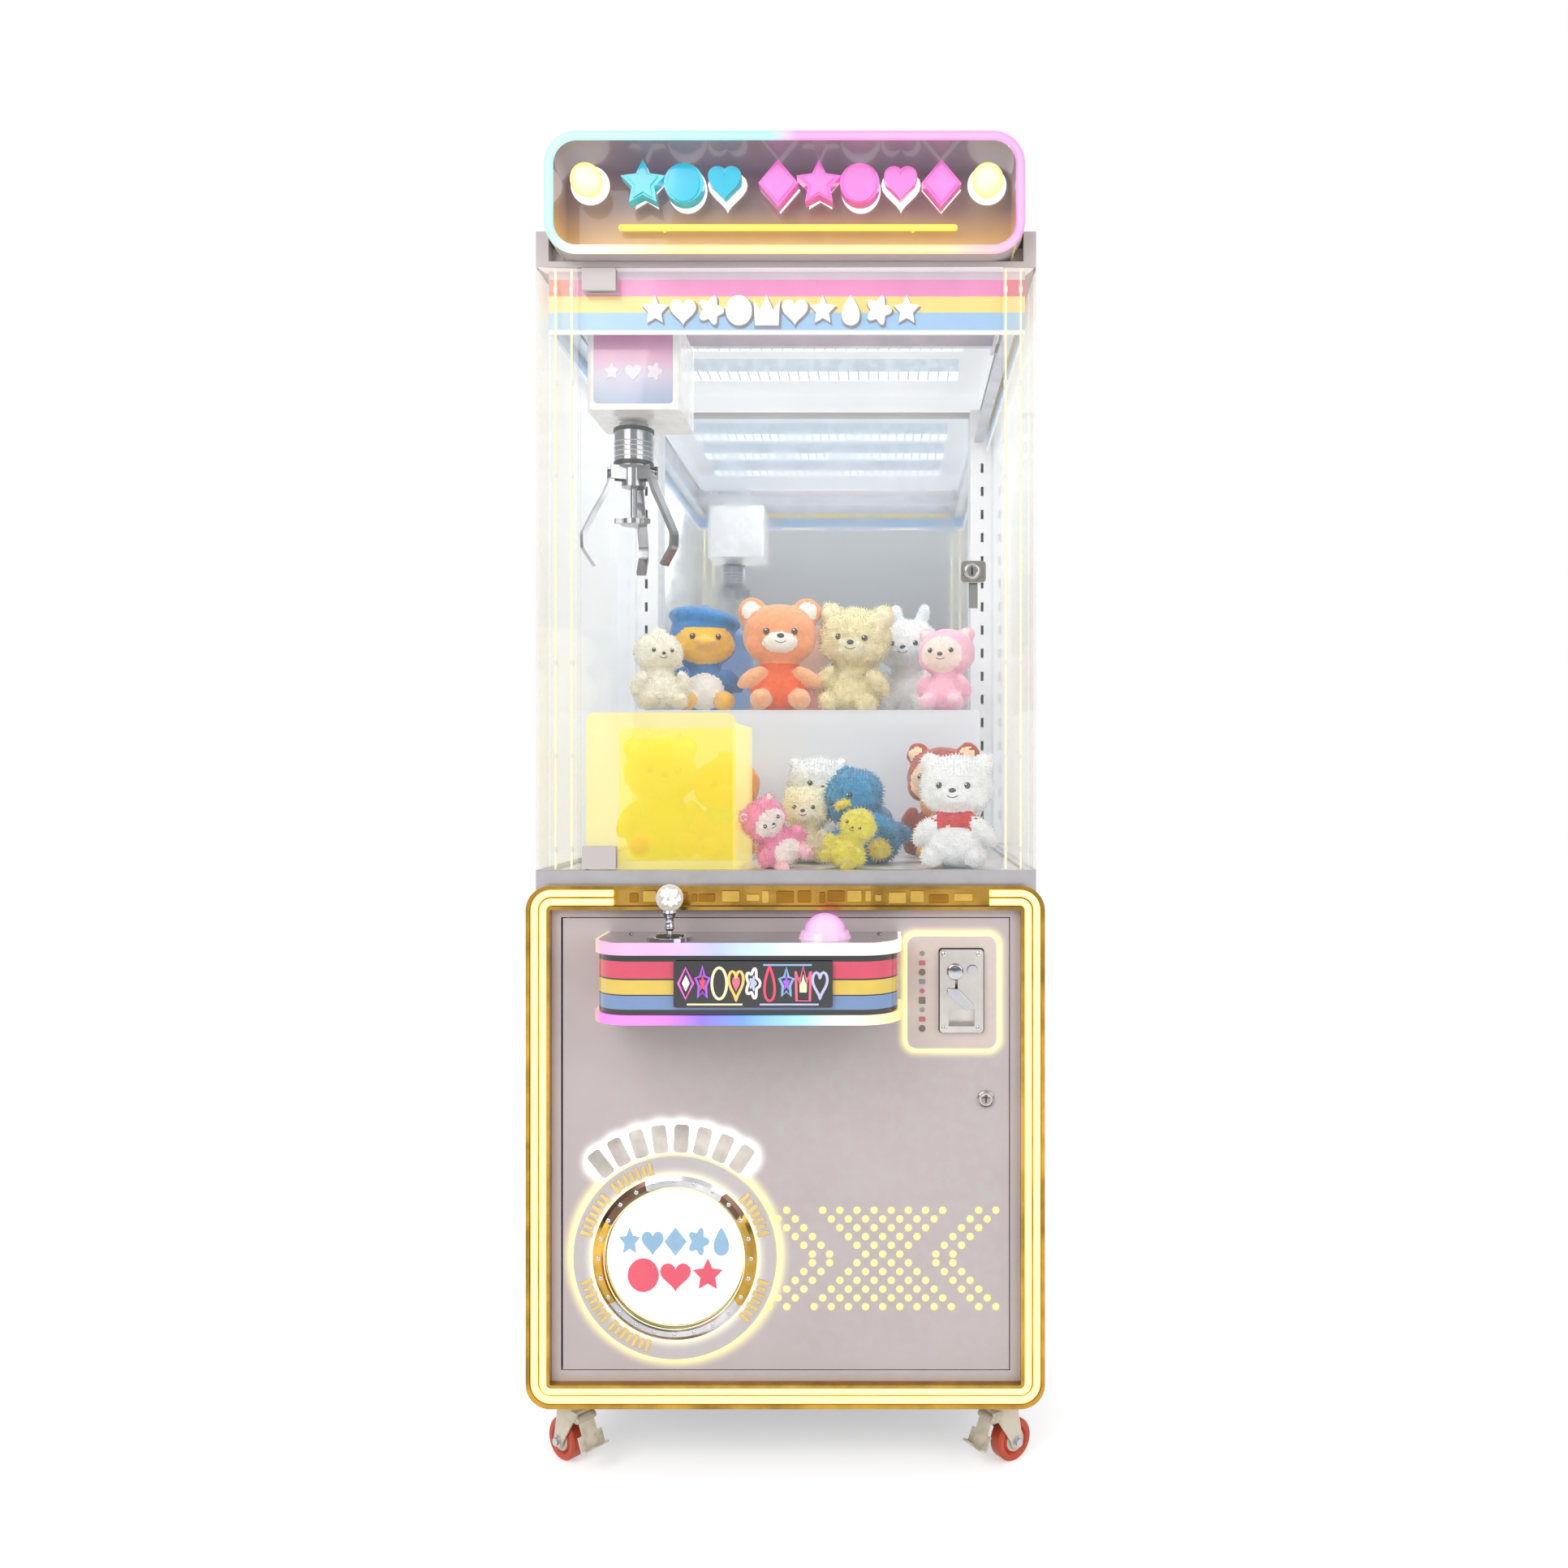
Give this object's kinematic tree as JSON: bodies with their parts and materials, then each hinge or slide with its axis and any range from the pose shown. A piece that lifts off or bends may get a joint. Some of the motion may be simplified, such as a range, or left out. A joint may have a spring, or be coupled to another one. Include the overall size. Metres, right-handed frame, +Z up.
{
  "type": "claw crane machine",
  "caption": "Glass-fronted claw crane machine on casters: gantry with a three-armed claw, joystick console, coin unit, round prize outlet with a flap and a lit sign on top.",
  "frame": {"origin": "on the floor under the middle of the bounding box", "axes": "+Z up, +X to the player's right, -Y towards the player"},
  "size_m": [0.8, 0.96, 2.067],
  "materials": {
    "steel_frame": "satin powder coat",
    "lilac_sheet": "satin lilac-grey powder coat",
    "gold_bezel": "polished gold",
    "neon_yellow": "lit silicone tube",
    "deck_board": "white laminate",
    "sill_grey": "satin",
    "post_white": "white powder coat",
    "clear_acrylic": "clear, polished edges",
    "window_glass": "clear tempered glass",
    "mirror": "silvered",
    "lamp_white": "lit diffuser",
    "header_film": "striped film on acrylic",
    "marquee_box": "dark mauve inside, lilac outside",
    "tube_light": "lit silicone tube",
    "sign_shapes": "gloss cyan and pink",
    "gantry_metal": "mill finish",
    "guard_yellow": "clear yellow acrylic",
    "chute_sheet": "white powder coat",
    "electrics": "moulded housings",
    "zinc": "cream zinc",
    "plush": "short pile plush",
    "console_black": "black with striped film",
    "console_trim": "lit rim",
    "coin_steel": "brushed",
    "coin_panel": "lilac powder coat",
    "chrome": "polished",
    "ring_lilac": "gloss",
    "flap_white": "gloss",
    "tile_white": "gloss with lit edge",
    "button_pink": "lit, translucent",
    "yoke_plastic": "moulded",
    "patch_grey": "satin",
    "cover_white": "gloss",
    "cord_grey": "braided cord",
    "tyre_red": "polyurethane",
    "crown_board": "lilac-grey film on board"
  },
  "bodies": {
    "cabinet": {"base_frame": "steel_frame", "cabinet_shell": "lilac_sheet", "rear_panel": "lilac_sheet", "front_bezel": "gold_bezel", "bezel_neon": "neon_yellow", "playfield_deck": "deck_board", "window_sill": "sill_grey", "rear_posts": "post_white", "corner_covers": "clear_acrylic", "side_windows": "window_glass", "rear_mirror": "mirror", "crown": "crown_board", "ceiling_lamps": "lamp_white", "header_band": "header_film", "marquee_box": "marquee_box", "marquee_lights": "tube_light", "marquee_shapes": "sign_shapes", "gantry_rails": "gantry_metal", "chute_guard": "guard_yellow", "prize_chute": "chute_sheet", "prize_shelf": "clear_acrylic", "electronics": "electrics", "caster_mounts": "zinc", "shelf_prizes": "plush", "deck_prizes": "plush"},
    "service_door": {"lower_door": "lilac_sheet", "console_body": "console_black", "console_trim": "console_trim", "coin_plate": "coin_panel", "coin_acceptor": "coin_steel", "prize_ring": "ring_lilac", "prize_bezel": "chrome", "arch_tiles": "tile_white"},
    "flap": {"prize_flap": "flap_white"},
    "stick_yoke": {"joystick_yoke": "yoke_plastic"},
    "stick": {"joystick_lever": "chrome"},
    "play_button": {"push_button": "button_pink"},
    "reject_button": {"coin_reject_button": "chrome"},
    "door_lock": {"door_lock": "chrome"},
    "glass_door": {"front_glass": "window_glass", "glass_patches": "patch_grey"},
    "glass_lock": {"glass_lock": "chrome"},
    "bridge": {"gantry_bridge": "gantry_metal"},
    "bridge_shaft": {"bridge_axle": "gantry_metal"},
    "trolley": {"trolley": "gantry_metal", "trolley_cover": "cover_white", "hoist_cord": "cord_grey"},
    "drum": {"hoist_drum": "gantry_metal"},
    "claw": {"claw_body": "chrome"},
    "plunger": {"claw_plunger": "chrome"},
    "arm_1": {"claw_arm_1": "chrome"},
    "arm_2": {"claw_arm_2": "chrome"},
    "arm_3": {"claw_arm_3": "chrome"},
    "fork_left": {"caster_fork_left": "zinc"},
    "fork_right": {"caster_fork_right": "zinc"},
    "wheel_left": {"front_wheel_left": "tyre_red"},
    "wheel_right": {"front_wheel_right": "tyre_red"},
    "pedal_left": {"brake_pedal_left": "zinc"},
    "pedal_right": {"brake_pedal_right": "zinc"},
    "rear_wheel_pair": {"rear_wheels": "tyre_red"}
  },
  "joints": [
    {"name": "service_door_hinge", "type": "hinge", "parent": "cabinet", "child": "service_door", "pos_m": [-0.34, -0.34, 0.51], "axis": [0, 0, -1], "range_deg": [0, 90]},
    {"name": "flap_hinge", "type": "hinge", "parent": "service_door", "child": "flap", "pos_m": [-0.171, -0.334, 0.448], "axis": [1, 0, 0], "range_deg": [0, 60], "stiffness_Nm_per_rad": 0.12, "springref_deg": -34.38},
    {"name": "stick_front_back", "type": "hinge", "parent": "service_door", "child": "stick_yoke", "pos_m": [-0.167, -0.425, 0.815], "axis": [1, 0, 0], "range_deg": [-15, 15], "stiffness_Nm_per_rad": 0.8},
    {"name": "stick_left_right", "type": "hinge", "parent": "stick_yoke", "child": "stick", "pos_m": [-0.167, -0.425, 0.815], "axis": [0, 1, 0], "range_deg": [-15, 15], "stiffness_Nm_per_rad": 0.8},
    {"name": "play_button_press", "type": "slide", "parent": "service_door", "child": "play_button", "axis": [0, 0, -1], "range_m": [0, 0.004], "stiffness_N_per_m": 500, "springref_m": -0.006},
    {"name": "reject_button_press", "type": "slide", "parent": "service_door", "child": "reject_button", "axis": [0, 1, 0], "range_m": [0, 0.004], "stiffness_N_per_m": 300, "springref_m": -0.004},
    {"name": "door_lock_turn", "type": "hinge", "parent": "service_door", "child": "door_lock", "pos_m": [0.31, -0.346, 0.579], "axis": [0, -1, 0], "range_deg": [0, 90]},
    {"name": "glass_door_hinge", "type": "hinge", "parent": "cabinet", "child": "glass_door", "pos_m": [-0.31, -0.34, 1.402], "axis": [0, 0, -1], "range_deg": [0, 95]},
    {"name": "glass_lock_turn", "type": "hinge", "parent": "glass_door", "child": "glass_lock", "pos_m": [0.291, -0.344, 1.397], "axis": [0, -1, 0], "range_deg": [0, 90]},
    {"name": "bridge_travel", "type": "slide", "parent": "cabinet", "child": "bridge", "axis": [0, -1, 0], "range_m": [-0.49, 0]},
    {"name": "bridge_shaft_spin", "type": "hinge", "parent": "bridge", "child": "bridge_shaft", "pos_m": [0, -0.301, 1.8183], "axis": [1, 0, 0], "range_deg": [-2345, 5]},
    {"name": "trolley_travel", "type": "slide", "parent": "bridge", "child": "trolley", "axis": [-1, 0, 0], "range_m": [-0.51, 0]},
    {"name": "hoist_travel", "type": "slide", "parent": "trolley", "child": "claw", "axis": [0, 0, -1], "range_m": [0, 0.45], "deforming": ["hoist_cord"]},
    {"name": "drum_spin", "type": "hinge", "parent": "trolley", "child": "drum", "pos_m": [-0.2402, -0.215, 1.757], "axis": [0, -1, 0], "range_deg": [-5, 1204]},
    {"name": "plunger_travel", "type": "slide", "parent": "claw", "child": "plunger", "axis": [0, 0, 1], "range_m": [0, 0.018]},
    {"name": "arm_1_pivot", "type": "hinge", "parent": "claw", "child": "arm_1", "pos_m": [-0.29144, -0.232, 1.578], "axis": [0.5, -0.866, 0], "range_deg": [-0.5, 18.5]},
    {"name": "arm_2_pivot", "type": "hinge", "parent": "claw", "child": "arm_2", "pos_m": [-0.23256, -0.232, 1.578], "axis": [0.5, 0.866, 0], "range_deg": [-0.5, 18.5]},
    {"name": "arm_3_pivot", "type": "hinge", "parent": "claw", "child": "arm_3", "pos_m": [-0.262, -0.181, 1.578], "axis": [-1, 0, 0], "range_deg": [-0.5, 18.5]},
    {"name": "caster_swivel_left", "type": "hinge", "parent": "cabinet", "child": "fork_left", "pos_m": [-0.334, -0.316, 0.101], "axis": [0, 0, 1], "continuous": true},
    {"name": "front_wheel_left_spin", "type": "hinge", "parent": "fork_left", "child": "wheel_left", "pos_m": [-0.35085, -0.30186, 0.033], "axis": [0.6428, 0.766, 0], "continuous": true},
    {"name": "brake_pedal_left_press", "type": "hinge", "parent": "fork_left", "child": "pedal_left", "pos_m": [-0.31408, -0.33271, 0.079], "axis": [0.6428, 0.766, 0], "range_deg": [0, 12]},
    {"name": "caster_swivel_right", "type": "hinge", "parent": "cabinet", "child": "fork_right", "pos_m": [0.334, -0.316, 0.101], "axis": [0, 0, 1], "continuous": true},
    {"name": "front_wheel_right_spin", "type": "hinge", "parent": "fork_right", "child": "wheel_right", "pos_m": [0.35202, -0.30338, 0.033], "axis": [-0.5736, 0.8192, 0], "continuous": true},
    {"name": "brake_pedal_right_press", "type": "hinge", "parent": "fork_right", "child": "pedal_right", "pos_m": [0.3127, -0.33091, 0.079], "axis": [0.5736, -0.8192, 0], "range_deg": [0, 12]},
    {"name": "rear_wheels_spin", "type": "hinge", "parent": "cabinet", "child": "rear_wheel_pair", "pos_m": [0, 0.425, 0.033], "axis": [1, 0, 0], "continuous": true}
  ],
  "couplings": [
    {"joint": "bridge_shaft_spin", "follows": "bridge_travel", "rad_per_m": 83.333},
    {"joint": "drum_spin", "follows": "hoist_travel", "rad_per_m": 46.512},
    {"joint": "arm_1_pivot", "follows": "plunger_travel", "rad_per_m": 17.453},
    {"joint": "arm_2_pivot", "follows": "plunger_travel", "rad_per_m": 17.453},
    {"joint": "arm_3_pivot", "follows": "plunger_travel", "rad_per_m": 17.453}
  ]
}
